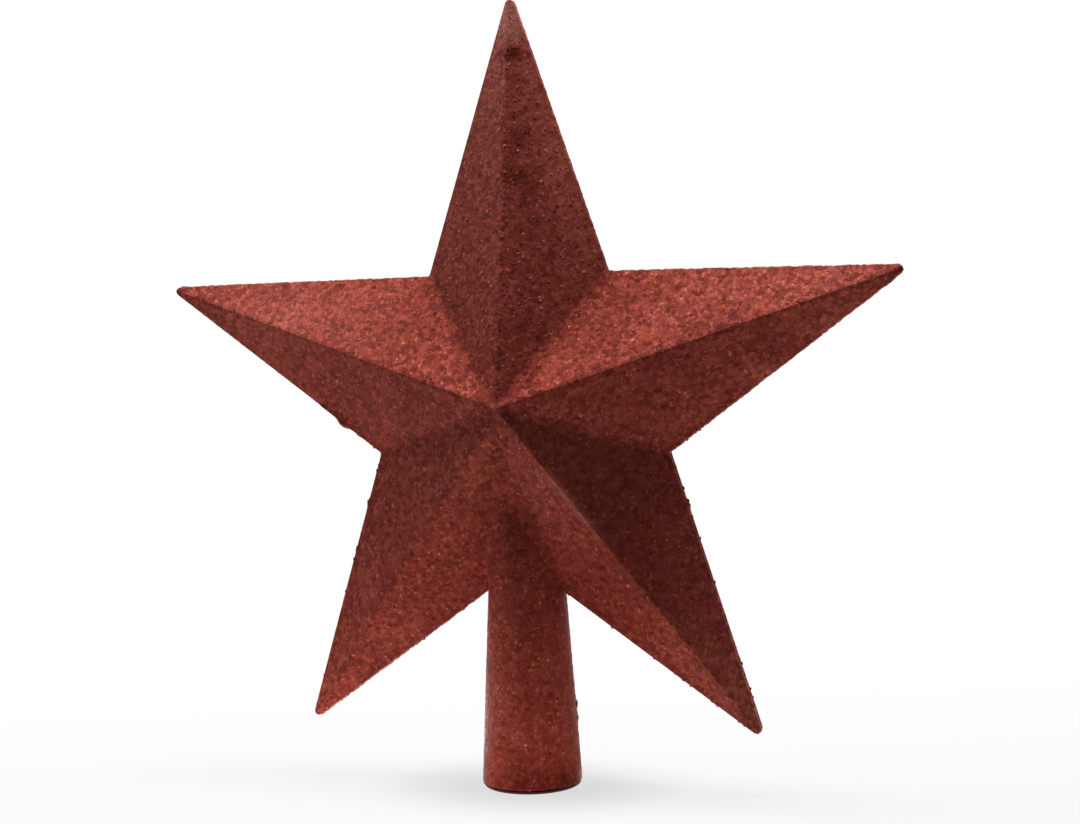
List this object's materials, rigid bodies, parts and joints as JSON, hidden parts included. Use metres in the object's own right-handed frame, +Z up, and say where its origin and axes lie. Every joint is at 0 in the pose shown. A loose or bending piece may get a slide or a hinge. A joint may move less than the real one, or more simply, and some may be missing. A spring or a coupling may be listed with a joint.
{
  "type": "tree topper star",
  "caption": "Hollow tree topper star with raised, faceted faces and a red glitter finish, on a tapered socket tube that slips over the top shoot of a Christmas tree.",
  "frame": {"origin": "centre of the tube's mouth, on the surface that the topper stands on", "axes": "+Z up along the tube's axis, the front of the star looks along -Y, +X to the viewer's right"},
  "size_m": [0.1844, 0.0396, 0.1903],
  "materials": {
    "moulded_plastic": "moulded, semi-gloss red",
    "red_glitter": "fine red glitter in clear glue"
  },
  "bodies": {
    "root": {"front_shell": "moulded_plastic", "rear_shell": "moulded_plastic", "socket_tube": "moulded_plastic", "front_glitter_coat": "red_glitter", "rear_glitter_coat": "red_glitter", "tube_glitter_coat": "red_glitter"}
  },
  "joints": []
}
